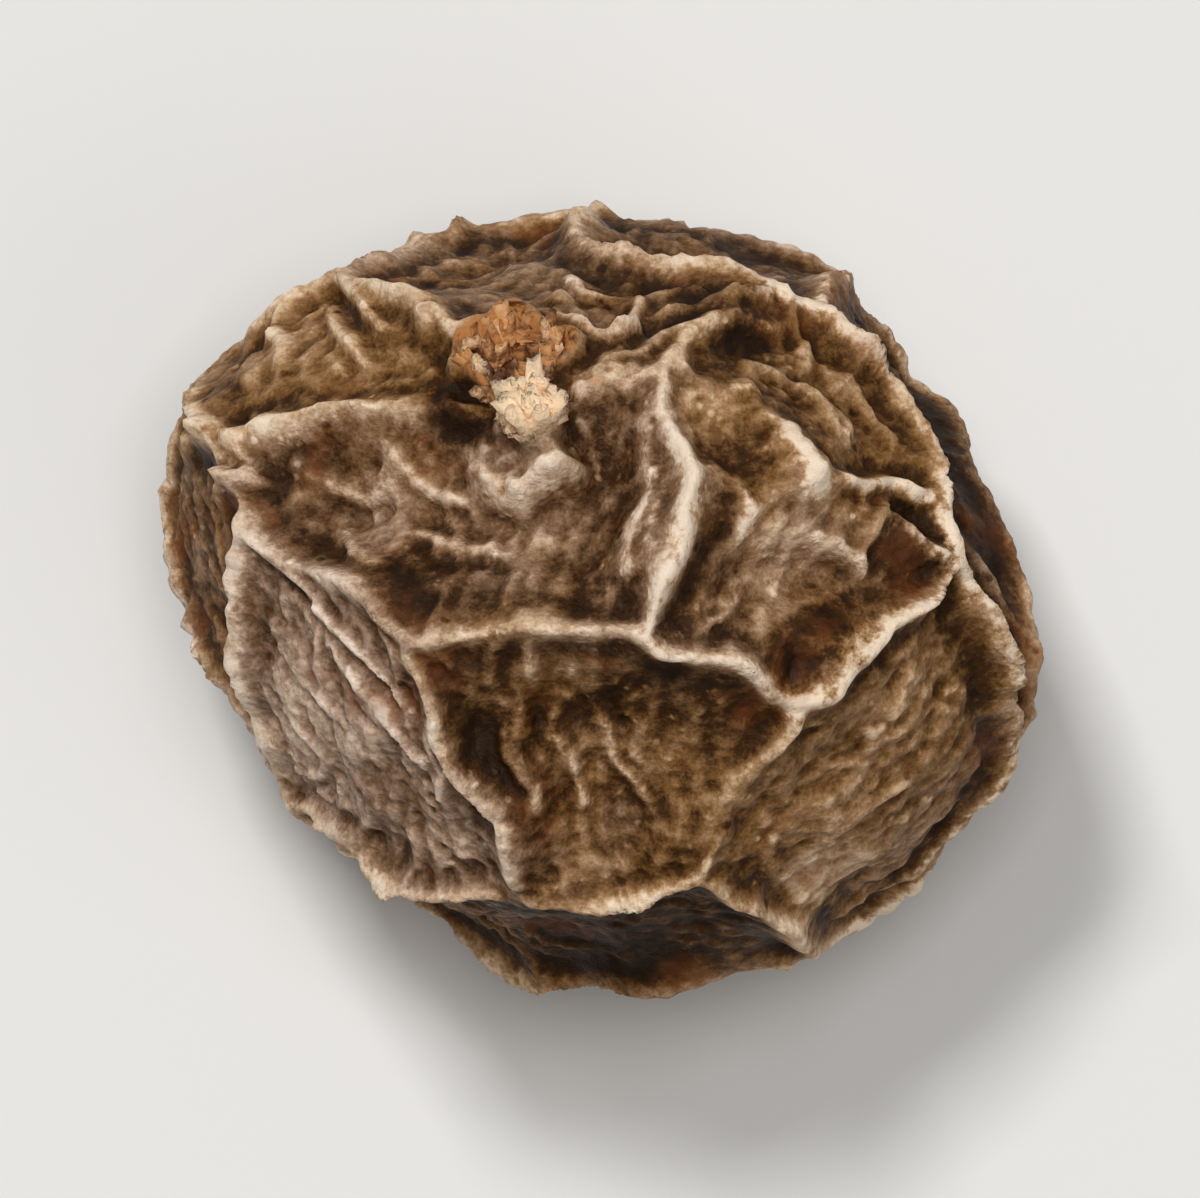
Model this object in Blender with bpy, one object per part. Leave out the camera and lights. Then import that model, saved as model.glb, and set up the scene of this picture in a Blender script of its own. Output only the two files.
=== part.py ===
# Black peppercorn, the dried berry of the pepper vine, built in metres with +Z up.
# The skin shrank onto the round seed as it dried. So the form is a ball covered by a net of thin
# raised ridges round hollow panels, with the torn stub of the stalk near the top and a small flat
# spot underneath, which the peppercorn rests on. It grew as one piece and is one solid.

import bmesh
import bpy
import numpy as np

mm = 0.001

# Overall size. The ball is wider towards some bearings: each swelling has how many times it comes
# back in one turn, the bearing where it is fullest, and the share by which it widens the ball.
# Ridges and panels fade out underneath between two drops
acrossX = 5.1 * mm
acrossY = 4.6 * mm
tall = 4.6 * mm
meanRadius = (acrossX + acrossY + tall) / 6
swellings = [(1, 49, 0.029), (2, -41, 0.064), (3, 35, 0.027), (4, -21, 0.017)]
reliefFadesFromDrop = 145.0
reliefEndsAtDrop = 160.0

# Flat spot that it rests on, cut where the plain ball would be this wide. It runs out into four
# pointed corners, and the skin round it rises by the given height over the given width. Any point
# left lower than the tolerance lies on the flat spot
cutRadius = 1.02 * mm
spotCorners = 4
spotCornerReach = 0.95 * mm
spotSideReach = 0.60 * mm
spotPointedness = 0.7
spotRise = 0.08 * mm
spotRiseWidth = 0.12 * mm
flatTolerance = 0.006 * mm

# Ridges between the panels. Their height changes along them by the given share, and each soft spot
# has a place, its reach and the share by which the ridges are lower there
crestHeight = 0.10 * mm
crestWidth = 0.07 * mm
crestLowest = 0.5
softSpots = [
    ((57, 37), 0.40 * mm, 0.85),
    ((19, 42), 0.38 * mm, 0.75),
    ((-52, 33), 0.45 * mm, 0.75),
    ((-66, 42), 0.45 * mm, 0.70),
    ((-100, 50), 0.45 * mm, 0.45),
    ((132, 42), 0.35 * mm, 0.45),
]
shoulderHeight = 0.09 * mm
shoulderWidth = 0.22 * mm
hollowWidth = 0.40 * mm

# Rounding where distances to several panels or middles meet. The last two are shares of the radius
crestRounding = 0.03 * mm
hollowRounding = 0.13 * mm
middleRounding = 0.06
middleBluntness = 0.15

# Smooth noise: a sum of plane waves whose lengths lie round one wavelength, by these shares. Each use
# has its wavelength, its amount where it has one, and its seed: two bend the ridges, two are low
# lumps, and one changes the height of the crests between the two noise levels given
rippleWaves = 14
rippleSpread = (0.6, 1.5)
ridgeBends = [(1.5 * mm, 0.06 * mm, 11), (0.55 * mm, 0.022 * mm, 31)]
lumps = [(2.4 * mm, 0.05 * mm, 51), (0.8 * mm, 0.02 * mm, 61)]
crestChange = (1.3 * mm, 41)
crestChangeLevels = (-1.2, 1.0)

# Wrinkles that wander over the panels, in patches between the two noise levels given
wrinkleHeight = 0.05 * mm
wrinkleWidth = 0.40
wrinkleNoise = (0.95 * mm, 91)
patchNoise = (1.9 * mm, 95)
patchLevels = (-0.5, 0.9)

# A place on the skin is (bearing, drop) in degrees. Bearing turns from +X towards +Y, and drop is 0
# at the top, 90 at the rim and 180 underneath. Each panel has its middles and its depth.
upperPanels = {
    "upperLeft": ([(133, 70), (126, 50)], 0.10 * mm),
    "middle": ([(149, 39), (140, 21), (87, 14), (76, 26)], 0.36 * mm),
    "right": ([(11, 22), (6, 34), (56, 32)], 0.26 * mm),
    "upperRight": ([(54, 46), (33, 46)], 0.12 * mm),
    "topBand": ([(84, 52), (102, 54), (112, 76)], 0.13 * mm),
    "lowerRight": ([(-17, 47), (-44, 52), (-50, 61)], 0.07 * mm),
    "lowerMiddle": ([(-79, 26), (-112, 23), (-91, 34)], 0.30 * mm),
    "lowerLeft": ([(-162, 48), (-136, 46)], 0.09 * mm),
    "farLeft": ([(172, 80)], 0.20 * mm),
    "lowerRim": ([(-77, 63), (-104, 82)], 0.20 * mm),
    "rightRim": ([(12, 76), (38, 82)], 0.22 * mm),
    "topRim": ([(72, 84)], 0.16 * mm),
    "upperLeftRim": ([(140, 112)], 0.16 * mm),
}

# Panels on the hidden underside follow a spiral from just below the rim to the bottom
hiddenPanels = 14
hiddenFromDrop = 98.0
hiddenSpiralTurn = 137.5
hiddenTurnSpread = 14.0
hiddenDropSpread = 5.0
hiddenShallowest = 0.10 * mm
hiddenDeepest = 0.30 * mm
hiddenSeed = 5

# Short folds that end inside a panel: the places of both ends, and the height. Each rises from
# nothing over a first share of its length, and runs out in the same way
foldWidth = 0.065 * mm
foldRise = (-0.1, 0.25)
folds = [
    ((-168, 45), (-133, 43), 0.09 * mm),
    ((66, 24), (15, 8), 0.07 * mm),
    ((43, 33), (20, 50), 0.11 * mm),
    ((26, 45), (17, 63), 0.11 * mm),
    ((85, 44), (78, 49), 0.12 * mm),
    ((159, 55), (168, 66), 0.12 * mm),
    ((-140, 13), (-109, 45), 0.06 * mm),
    ((-75, 15), (-76, 36), 0.06 * mm),
    ((61, 49), (33, 50), 0.06 * mm),
    ((-55, 58), (-33, 61), 0.05 * mm),
]

# Torn stub of the stalk: a ragged ring with a pit in it, and the broken end of the stalk beside it
ringPlace = (106, 43)
ringRadius = 0.24 * mm
ringThickness = 0.11 * mm
ringHeight = 0.20 * mm
pitDepth = 0.16 * mm
endPlace = (108, 30)
endRadius = 0.20 * mm
endHeight = 0.30 * mm
stubReach = 0.42 * mm
stubRaggedness = (0.45 * mm, 0.22, 71)

# Mesh, and the dried skin's colour and roughness
sphereSubdivisions = 7
triangleBudget = 9600
roundTo = 9
skinColour = (0.19, 0.107, 0.063, 1)
skinRoughness = 0.55


def clearScene():
    for item in list(bpy.data.objects):
        bpy.data.objects.remove(item, do_unlink=True)


def unit(vectors):
    return vectors / np.linalg.norm(vectors, axis=-1, keepdims=True)


def direction(place):
    bearing, drop = np.radians(place)
    return np.array([np.sin(drop) * np.cos(bearing), np.sin(drop) * np.sin(bearing), np.cos(drop)])


def smoothStep(value, low, high):
    share = np.clip((value - low) / (high - low), 0, 1)
    return share * share * (3 - 2 * share)


# The plain ball before it wrinkled, along the given directions
def plainBall(ways):
    bearing = np.arctan2(ways[:, 1], ways[:, 0])
    wider = sum(share * np.cos(count * (bearing - np.radians(at))) for count, at, share in swellings)
    sideways = 1 + wider * (1 - ways[:, 2] ** 2)
    return ways * np.stack([sideways * acrossX, sideways * acrossY, np.full(len(ways), tall)], axis=1) / 2


# Smooth noise of about unit size
def ripple(points, wavelength, seed):
    draw = np.random.default_rng(seed)
    number = 2 * np.pi / wavelength * draw.uniform(*rippleSpread, (rippleWaves, 1))
    way = unit(draw.normal(size=(rippleWaves, 3))) * number
    phase = draw.uniform(0, 2 * np.pi, rippleWaves)
    return np.sin(points @ way.T + phase).sum(axis=1) / np.sqrt(rippleWaves / 2)


# Shifts directions sideways by smooth noise, so that the straight borders of panels wander
def bent(ways):
    for wavelength, amount, seed in ridgeBends:
        shift = [ripple(ways * meanRadius, wavelength, seed + axis) for axis in range(3)]
        ways = unit(ways + np.stack(shift, axis=1) * (amount / meanRadius))
    return ways


# The middles of every panel, and the panels' depths
def panelLayout():
    panels = [np.array([direction(place) for place in places]) for places, depth in upperPanels.values()]
    depths = [depth for places, depth in upperPanels.values()]
    draw = np.random.default_rng(hiddenSeed)
    top = np.cos(np.radians(hiddenFromDrop))
    for step in range(hiddenPanels):
        height = top - (1 + top) * (step + 0.5) / hiddenPanels
        bearing = step * hiddenSpiralTurn + draw.uniform(-hiddenTurnSpread, hiddenTurnSpread)
        drop = np.degrees(np.arccos(height)) + draw.uniform(-hiddenDropSpread, hiddenDropSpread)
        panels.append(np.array([direction((bearing, drop))]))
        depths.append(draw.uniform(hiddenShallowest, hiddenDeepest))
    return panels, np.array(depths)


# How far each direction is from a panel, as a smooth blend over the panel's middles, with its slope
def panelReach(ways, middles):
    cosine = ways @ middles.T
    away = np.sqrt(2 - 2 * cosine + middleBluntness ** 2)
    nearest = away.min(axis=1, keepdims=True)
    share = np.exp((nearest - away) / middleRounding)
    total = share.sum(axis=1, keepdims=True)
    pull = share / total / away
    reach = nearest[:, 0] - middleRounding * np.log(total[:, 0])
    slope = (pull * cosine).sum(axis=1, keepdims=True) * ways - pull @ middles
    return reach, slope


# Smallest of several distances, rounded off where two of them are nearly alike
def roundedLeast(distances, rounding):
    return np.maximum(-rounding * np.log(np.exp(-distances / rounding).sum(axis=0)), 0)


# Distance along the skin from each direction to the nearest border between two panels, crisp and
# rounded off, and the depth of the panel that it lies in
def borderDistance(ways):
    panels, depths = panelLayout()
    found = [panelReach(ways, middles) for middles in panels]
    reach = np.stack([item[0] for item in found])
    slope = np.stack([item[1] for item in found])
    home = reach.argmin(axis=0)
    rows = np.arange(len(ways))
    steepness = np.maximum(np.linalg.norm(slope - slope[home, rows], axis=2), middleRounding)
    gap = (reach - reach[home, rows]) / steepness * meanRadius
    gap[home, rows] = meanRadius
    return roundedLeast(gap, crestRounding), roundedLeast(gap, hollowRounding), depths[home]


# Distance along the skin from each direction to one place
def awayFrom(ways, place):
    return np.arccos(np.clip(ways @ direction(place), -1, 1)) * meanRadius


# Height of the short folds, each an arc between two places that runs out at both ends
def foldRelief(ways):
    relief = np.zeros(len(ways))
    for start, end, height in folds:
        first, last = direction(start), direction(end)
        pole = unit(np.cross(first, last))
        length = np.arccos(first @ last)
        share = np.arctan2(ways @ np.cross(pole, first), ways @ first) / length
        runsOut = smoothStep(share, *foldRise) * smoothStep(1 - share, *foldRise)
        away = np.arcsin(ways @ pole) * meanRadius
        relief = np.maximum(relief, height * runsOut * np.exp(-(away / foldWidth) ** 2))
    return relief


# Height of the wrinkles: they follow the lines where a smooth noise passes through zero
def wrinkleRelief(points):
    line = np.exp(-(ripple(points, *wrinkleNoise) / wrinkleWidth) ** 2)
    patches = smoothStep(ripple(points, *patchNoise), *patchLevels)
    return wrinkleHeight * line * patches


# Height of the torn stub, and how fully it hides the skin's own relief
def stubRelief(ways):
    wavelength, amount, seed = stubRaggedness
    ragged = 1 + amount * ripple(ways * meanRadius, wavelength, seed)
    fromRing = awayFrom(ways, ringPlace) * ragged
    fromEnd = awayFrom(ways, endPlace) * ragged
    ring = ringHeight * np.exp(-((fromRing - ringRadius) / ringThickness) ** 2)
    end = endHeight * np.exp(-(fromEnd / endRadius) ** 4)
    pit = pitDepth * np.exp(-(fromRing / ringRadius) ** 4)
    cover = np.exp(-(np.minimum(fromRing, fromEnd) / stubReach) ** 4)
    return np.maximum(ring, end) - pit, cover


# Height of the skin above the plain ball along each direction
def skinRelief(ways):
    points = ways * meanRadius
    bentWays = bent(ways)
    crisp, rounded, depth = borderDistance(bentWays)
    change = smoothStep(ripple(points, *crestChange), *crestChangeLevels)
    firmness = 1.0
    for place, reach, share in softSpots:
        firmness = firmness * (1 - share * np.exp(-(awayFrom(ways, place) / reach) ** 2))
    crest = crestHeight * (crestLowest + (1 - crestLowest) * change) * np.exp(-(crisp / crestWidth) ** 2)
    shoulder = shoulderHeight * np.exp(-crisp / shoulderWidth)
    hollow = depth * (1 - np.exp(-(rounded / hollowWidth) ** 2))
    fine = foldRelief(bentWays) + wrinkleRelief(points)
    swell = sum(amount * ripple(points, wavelength, seed) for wavelength, amount, seed in lumps)
    stub, cover = stubRelief(ways)
    relief = ((crest + shoulder) * firmness + fine - hollow) * (1 - cover) + swell + stub
    drop = np.degrees(np.arccos(ways[:, 2]))
    return relief * (1 - smoothStep(drop, reliefFadesFromDrop, reliefEndsAtDrop))


# Height above the flat spot that the skin keeps at least, at each place
def leastHeight(points):
    across = np.hypot(points[:, 0], points[:, 1])
    aside = np.abs(np.sin(np.arctan2(points[:, 1], points[:, 0]) * spotCorners / 2)) ** spotPointedness
    outline = spotCornerReach + (spotSideReach - spotCornerReach) * aside
    beyond = np.maximum(across - outline, 0)
    height = spotRise * (1 - np.exp(-(beyond / spotRiseWidth) ** 2))
    return np.where(height < flatTolerance, 0, height)


# Cuts the flat spot, then sets the overall size, with the flat spot's height at zero
def settled(points, floor):
    points[:, 2] = np.maximum(points[:, 2] - floor, leastHeight(points))
    points[points[:, 2] < flatTolerance, 2] = 0
    low, high = points.min(axis=0), points.max(axis=0)
    middle = np.array([(low[0] + high[0]) / 2, (low[1] + high[1]) / 2, low[2]])
    return (points - middle) * np.array([acrossX, acrossY, tall]) / (high - low)


# Moves the nearest point of a mesh onto each corner of the flat spot
def cornered(points):
    for bearing in 2 * np.pi * np.arange(spotCorners) / spotCorners:
        corner = spotCornerReach * np.array([np.cos(bearing), np.sin(bearing), 0])
        points[np.linalg.norm(points - corner, axis=1).argmin()] = corner
    return points


# Points of the skin along the given directions
def skinPoints(ways):
    points = plainBall(ways) + ways * skinRelief(ways)[:, None]
    return settled(points, -tall / 2 + cutRadius ** 2 / (2 * meanRadius))


def skinMaterial():
    material = bpy.data.materials.new("peppercorn skin")
    material.use_nodes = True
    shader = material.node_tree.nodes["Principled BSDF"]
    shader.inputs["Base Color"].default_value = skinColour
    shader.inputs["Roughness"].default_value = skinRoughness
    shader.inputs["Metallic"].default_value = 0
    return material


def readPoints(mesh):
    points = np.empty(len(mesh.vertices) * 3)
    mesh.vertices.foreach_get("co", points)
    return points.reshape(-1, 3)


# Rounded to a millionth of a millimetre, so that thinning out starts from the same mesh everywhere
def writePoints(mesh, points):
    mesh.vertices.foreach_set("co", np.round(points, roundTo).ravel())
    mesh.update()


# A fine sphere takes the form of the skin, and is then thinned out where the skin is smooth
def buildPeppercorn(collection):
    fine = bpy.data.meshes.new("fine skin")
    sphere = bmesh.new()
    bmesh.ops.create_icosphere(sphere, subdivisions=sphereSubdivisions, radius=1)
    sphere.to_mesh(fine)
    sphere.free()
    writePoints(fine, skinPoints(unit(readPoints(fine))))
    peppercorn = bpy.data.objects.new("peppercorn", fine)
    collection.objects.link(peppercorn)
    thinning = peppercorn.modifiers.new("thinning", "DECIMATE")
    thinning.ratio = triangleBudget / len(fine.polygons)
    thinned = peppercorn.evaluated_get(bpy.context.evaluated_depsgraph_get())
    mesh = bpy.data.meshes.new_from_object(thinned)
    mesh.name = "peppercorn"
    peppercorn.modifiers.clear()
    peppercorn.data = mesh
    bpy.data.meshes.remove(fine)
    writePoints(mesh, cornered(settled(readPoints(mesh), 0)))
    mesh.materials.append(skinMaterial())
    mesh.shade_smooth()


def main():
    clearScene()
    collection = bpy.data.collections.new("black peppercorn")
    bpy.context.scene.collection.children.link(collection)
    buildPeppercorn(collection)


main()
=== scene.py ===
import bmesh
import bpy
import numpy as np
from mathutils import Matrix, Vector


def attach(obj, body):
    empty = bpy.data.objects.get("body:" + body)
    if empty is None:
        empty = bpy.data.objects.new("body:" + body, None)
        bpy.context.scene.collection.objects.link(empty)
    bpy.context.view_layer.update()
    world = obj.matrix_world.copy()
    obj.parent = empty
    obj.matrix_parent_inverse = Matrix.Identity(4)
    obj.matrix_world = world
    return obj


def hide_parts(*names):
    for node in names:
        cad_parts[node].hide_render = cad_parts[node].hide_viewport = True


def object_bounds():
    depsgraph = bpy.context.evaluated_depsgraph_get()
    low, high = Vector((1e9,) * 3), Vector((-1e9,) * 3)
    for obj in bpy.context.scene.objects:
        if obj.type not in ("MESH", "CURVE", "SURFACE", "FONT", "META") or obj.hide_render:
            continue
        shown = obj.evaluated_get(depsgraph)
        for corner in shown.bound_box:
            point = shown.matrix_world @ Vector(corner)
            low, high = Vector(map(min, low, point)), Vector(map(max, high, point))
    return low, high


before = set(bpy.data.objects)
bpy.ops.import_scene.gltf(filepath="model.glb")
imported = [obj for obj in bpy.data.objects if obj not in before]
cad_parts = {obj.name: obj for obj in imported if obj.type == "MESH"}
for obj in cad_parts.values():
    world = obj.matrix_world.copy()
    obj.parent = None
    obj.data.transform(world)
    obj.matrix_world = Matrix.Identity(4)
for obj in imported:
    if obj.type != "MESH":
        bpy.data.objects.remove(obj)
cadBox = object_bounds()  # the CAD model's own box
mm = 0.001
wholeSize = np.array(cadBox[1]) - np.array(cadBox[0])
meanRadius = wholeSize.sum() / 6
print("frame loaded, peppercorn", np.round(wholeSize / mm, 2), "mm")

# Places on the skin are (bearing, drop) in degrees: bearing turns from +X towards +Y,
# drop is 0 at the top, 90 at the rim and 180 underneath.
# The form is the CAD model's own, so the fine skin lies on the solid it replaces. Only the folds
# beside the curved ridge at the upper right are lower here, because a fine seam draws that ridge.
form = {
    # Waves round the ball, bearing and share, from a least-squares fit to a traced outline
    "swellings": [(1, 49, 0.029), (2, -41, 0.064), (3, 35, 0.027), (4, -21, 0.017)],
    "reliefFades": (145.0, 160.0),  # drops between which the relief dies out underneath
    "cutRadius": 1.02 * mm,  # half the width of the plain ball where the flat spot is cut
    "spotCorners": 4,
    "spotCornerReach": 0.95 * mm,
    "spotSideReach": 0.60 * mm,
    "spotPointedness": 0.7,
    "spotRise": 0.08 * mm,  # how much higher the skin round the flat spot lies
    "spotRiseWidth": 0.12 * mm,
    "flatTolerance": 0.006 * mm,
    "crestHeight": 0.10 * mm,
    "crestWidth": 0.07 * mm,
    "crestLowest": 0.5,  # share of the full height where a crest is lowest
    "softSpots": [  # (place, reach, share by which the ridges are lower there)
        ((57, 37), 0.40 * mm, 0.85),
        ((19, 42), 0.38 * mm, 0.75),
        ((-52, 33), 0.45 * mm, 0.75),
        ((-66, 42), 0.45 * mm, 0.70),
        ((-100, 50), 0.45 * mm, 0.45),
        ((132, 42), 0.35 * mm, 0.45),
    ],
    "shoulderHeight": 0.09 * mm,
    "shoulderWidth": 0.22 * mm,
    "hollowWidth": 0.40 * mm,
    "crestRounding": 0.03 * mm,
    "hollowRounding": 0.13 * mm,
    "middleRounding": 0.06,
    "middleBluntness": 0.15,
    "rippleWaves": 14,
    "rippleSpread": (0.6, 1.5),
    "ridgeBends": [(1.5 * mm, 0.06 * mm, 11), (0.55 * mm, 0.022 * mm, 31)],
    "lumps": [(2.4 * mm, 0.05 * mm, 51), (0.8 * mm, 0.02 * mm, 61)],
    "crestChange": (1.3 * mm, 41),
    "crestChangeLevels": (-1.2, 1.0),
    "wrinkleHeight": 0.05 * mm,
    "wrinkleWidth": 0.40,
    "wrinkleNoise": (0.95 * mm, 91),
    "patchNoise": (1.9 * mm, 95),
    "patchLevels": (-0.5, 0.9),
    "hiddenPanels": 14,
    "hiddenFromDrop": 98.0,
    "hiddenSpiralTurn": 137.5,
    "hiddenTurnSpread": 14.0,
    "hiddenDropSpread": 5.0,
    "hiddenDepths": (0.10 * mm, 0.30 * mm),
    "hiddenShades": (0.3, 0.75),
    "hiddenWarmths": (0.1, 0.9),
    "hiddenSeed": 5,
    "foldWidth": 0.065 * mm,
    "foldRise": (-0.1, 0.25),
    "folds": [  # where each starts and ends, and its height
        ((-168, 45), (-133, 43), 0.09 * mm),
        ((66, 24), (15, 8), 0.07 * mm),
        ((43, 33), (20, 50), 0.04 * mm),
        ((26, 45), (17, 63), 0.05 * mm),
        ((85, 44), (78, 49), 0.12 * mm),
        ((159, 55), (168, 66), 0.12 * mm),
        ((-140, 13), (-109, 45), 0.06 * mm),
        ((-75, 15), (-76, 36), 0.06 * mm),
        ((61, 49), (33, 50), 0.06 * mm),
        ((-55, 58), (-33, 61), 0.05 * mm),
    ],
    "ringPlace": (106, 43),
    "ringRadius": 0.24 * mm,
    "ringThickness": 0.11 * mm,
    "ringHeight": 0.20 * mm,
    "pitDepth": 0.16 * mm,
    "endPlace": (108, 30),
    "endRadius": 0.20 * mm,
    "endHeight": 0.30 * mm,
    "stubReach": 0.42 * mm,
    "tornReach": 0.32 * mm,  # how far the torn colour reaches from the middle of the ring
    "stubRaggedness": (0.45 * mm, 0.22, 71),
}

# Panels on the upper side: places of their middles, depth, shade (0 dark, 1 light)
# and warmth (0 grey, 1 olive brown)
upperPanels = {
    "upperLeft": ([(133, 70), (126, 50)], 0.10 * mm, 0.60, 0.90),
    "middle": ([(149, 39), (140, 21), (87, 14), (76, 26)], 0.36 * mm, 0.60, 0.35),
    "right": ([(11, 22), (6, 34), (56, 32)], 0.26 * mm, 0.60, 0.45),
    "upperRight": ([(54, 46), (33, 46)], 0.12 * mm, 0.45, 0.65),
    "topBand": ([(84, 52), (102, 54), (112, 76)], 0.13 * mm, 0.50, 0.50),
    "lowerRight": ([(-17, 47), (-44, 52), (-50, 61)], 0.07 * mm, 0.50, 0.75),
    "lowerMiddle": ([(-79, 26), (-112, 23), (-91, 34)], 0.30 * mm, 0.28, 0.50),
    "lowerLeft": ([(-162, 48), (-136, 46)], 0.09 * mm, 0.85, 0.15),
    "farLeft": ([(172, 80)], 0.20 * mm, 0.40, 0.60),
    # the low shades of lowerRim and rightRim are partly painted shadow at the rim
    "lowerRim": ([(-77, 63), (-104, 82)], 0.20 * mm, 0.25, 0.80),
    "rightRim": ([(12, 76), (38, 82)], 0.22 * mm, 0.20, 0.50),
    "topRim": ([(72, 84)], 0.16 * mm, 0.35, 0.50),
    "upperLeftRim": ([(140, 112)], 0.16 * mm, 0.40, 0.60),
}


def unit(vectors):
    return vectors / np.linalg.norm(vectors, axis=-1, keepdims=True)


def direction(place):
    bearing, drop = np.radians(place)
    return np.array([np.sin(drop) * np.cos(bearing), np.sin(drop) * np.sin(bearing), np.cos(drop)])


def plainBall(ways):  # the ball before it wrinkled, wider towards some bearings than towards others
    bearing = np.arctan2(ways[:, 1], ways[:, 0])
    wider = sum(share * np.cos(count * (bearing - np.radians(at))) for count, at, share in form["swellings"])
    sideways = 1 + wider * (1 - ways[:, 2] ** 2)
    return ways * (wholeSize / 2) * np.stack([sideways, sideways, np.ones(len(ways))], axis=1)


def smoothStep(value, low, high):
    share = np.clip((value - low) / (high - low), 0, 1)
    return share * share * (3 - 2 * share)


def ripple(points, wavelength, seed):  # smooth noise of about unit size, a sum of plane waves
    draw = np.random.default_rng(seed)
    waves = form["rippleWaves"]
    number = 2 * np.pi / wavelength * draw.uniform(*form["rippleSpread"], (waves, 1))
    way = unit(draw.normal(size=(waves, 3))) * number
    phase = draw.uniform(0, 2 * np.pi, waves)
    return np.sin(points @ way.T + phase).sum(axis=1) / np.sqrt(waves / 2)


def ripples(points, waves):  # ripples of several sizes together, given as (wavelength, amount, seed)
    return sum(amount * ripple(points, wavelength, seed) for wavelength, amount, seed in waves)


def rippleVector(points, wavelength, seed):
    return np.stack([ripple(points, wavelength, seed + axis) for axis in range(3)], axis=1)


def bent(ways):  # shifts directions sideways, so that the straight borders of panels wander
    for wavelength, amount, seed in form["ridgeBends"]:
        ways = unit(ways + rippleVector(ways * meanRadius, wavelength, seed) * (amount / meanRadius))
    return ways


def panelLayout():  # every panel's middles, depth, shade and warmth
    panels, looks = [], []
    for places, depth, shade, warmth in upperPanels.values():
        panels.append(np.array([direction(place) for place in places]))
        looks.append((depth, shade, warmth))
    draw = np.random.default_rng(form["hiddenSeed"])
    tint = np.random.default_rng(form["hiddenSeed"] + 1)
    top = np.cos(np.radians(form["hiddenFromDrop"]))
    for step in range(form["hiddenPanels"]):
        height = top - (1 + top) * (step + 0.5) / form["hiddenPanels"]
        turn, dropSpread = form["hiddenTurnSpread"], form["hiddenDropSpread"]
        bearing = step * form["hiddenSpiralTurn"] + draw.uniform(-turn, turn)
        drop = np.degrees(np.arccos(height)) + draw.uniform(-dropSpread, dropSpread)
        panels.append(np.array([direction((bearing, drop))]))
        shade, warmth = tint.uniform(*form["hiddenShades"]), tint.uniform(*form["hiddenWarmths"])
        looks.append((draw.uniform(*form["hiddenDepths"]), shade, warmth))
    return panels, np.array(looks)


def panelReach(ways, middles):  # how far each direction is from a panel, with its slope
    cosine = ways @ middles.T
    away = np.sqrt(2 - 2 * cosine + form["middleBluntness"] ** 2)
    nearest = away.min(axis=1, keepdims=True)
    share = np.exp((nearest - away) / form["middleRounding"])
    total = share.sum(axis=1, keepdims=True)
    pull = share / total / away
    reach = nearest[:, 0] - form["middleRounding"] * np.log(total[:, 0])
    slope = (pull * cosine).sum(axis=1, keepdims=True) * ways - pull @ middles
    return reach, slope


def roundedLeast(distances, rounding):
    return np.maximum(-rounding * np.log(np.exp(-distances / rounding).sum(axis=0)), 0)


def borderDistance(ways):  # crisp and rounded distance to the nearest border, and the panel's looks
    panels, looks = panelLayout()
    found = [panelReach(ways, middles) for middles in panels]
    reach = np.stack([item[0] for item in found])
    slope = np.stack([item[1] for item in found])
    home = reach.argmin(axis=0)
    rows = np.arange(len(ways))
    steepness = np.linalg.norm(slope - slope[home, rows], axis=2)
    gap = (reach - reach[home, rows]) / np.maximum(steepness, form["middleRounding"]) * meanRadius
    share = np.exp(-gap / form["foldWidth"])
    tints = share.T @ looks[:, 1:] / share.sum(axis=0)[:, None]
    gap[home, rows] = meanRadius
    crisp = roundedLeast(gap, form["crestRounding"])
    return crisp, roundedLeast(gap, form["hollowRounding"]), looks[home, 0], tints


def awayFrom(ways, place):
    return np.arccos(np.clip(ways @ direction(place), -1, 1)) * meanRadius


def foldRelief(ways):  # short folds, each an arc between two places that runs out at both ends
    relief = np.zeros(len(ways))
    for start, end, height in form["folds"]:
        first, last = direction(start), direction(end)
        pole = unit(np.cross(first, last))
        length = np.arccos(first @ last)
        share = np.arctan2(ways @ np.cross(pole, first), ways @ first) / length
        runsOut = smoothStep(share, *form["foldRise"]) * smoothStep(1 - share, *form["foldRise"])
        away = np.arcsin(ways @ pole) * meanRadius
        relief = np.maximum(relief, height * runsOut * np.exp(-(away / form["foldWidth"]) ** 2))
    return relief


def wrinkleRelief(points):  # wrinkles follow the lines where a smooth noise passes through zero
    line = np.exp(-(ripple(points, *form["wrinkleNoise"]) / form["wrinkleWidth"]) ** 2)
    patches = smoothStep(ripple(points, *form["patchNoise"]), *form["patchLevels"])
    return form["wrinkleHeight"] * line * patches


def stubRelief(ways):  # the torn stub, how fully it hides the skin, and a mask of its torn colour
    ragged = 1 + ripples(ways * meanRadius, [form["stubRaggedness"]])
    fromRing = awayFrom(ways, form["ringPlace"]) * ragged
    fromEnd = awayFrom(ways, form["endPlace"]) * ragged
    ring = form["ringHeight"] * np.exp(-((fromRing - form["ringRadius"]) / form["ringThickness"]) ** 2)
    end = form["endHeight"] * np.exp(-(fromEnd / form["endRadius"]) ** 4)
    pit = form["pitDepth"] * np.exp(-(fromRing / form["ringRadius"]) ** 4)
    cover = np.exp(-(np.minimum(fromRing, fromEnd) / form["stubReach"]) ** 4)
    torn = np.exp(-(fromRing / form["tornReach"]) ** 6)
    return np.maximum(ring, end) - pit, cover, torn


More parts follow.
